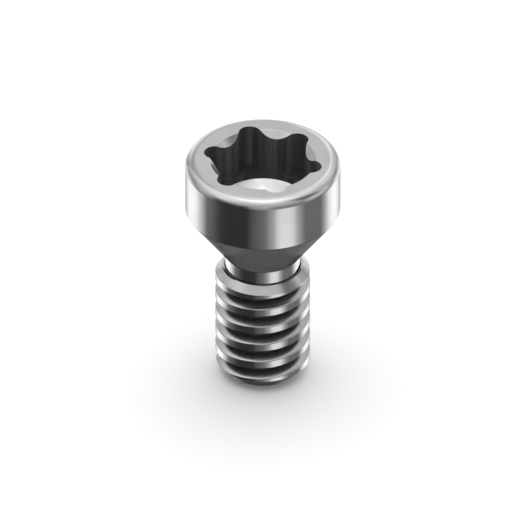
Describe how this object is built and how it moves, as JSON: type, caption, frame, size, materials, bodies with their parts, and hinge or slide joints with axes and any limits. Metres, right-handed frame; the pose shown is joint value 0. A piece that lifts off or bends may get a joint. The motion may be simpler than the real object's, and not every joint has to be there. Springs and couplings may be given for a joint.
{
  "type": "dental abutment screw",
  "caption": "Short fine-thread screw with a round head, conical seat, plain neck and a six-lobe drive socket, for clamping an abutment to an implant.",
  "frame": {"origin": "centre of the flat tip, which stands on z = 0", "axes": "+Z along the screw's axis, from the tip to the head; +X through one lobe of the drive socket"},
  "size_m": [0.0026, 0.0026, 0.0042],
  "materials": {
    "titanium": "polished"
  },
  "bodies": {
    "root": {"abutment_screw": "titanium"}
  },
  "joints": []
}
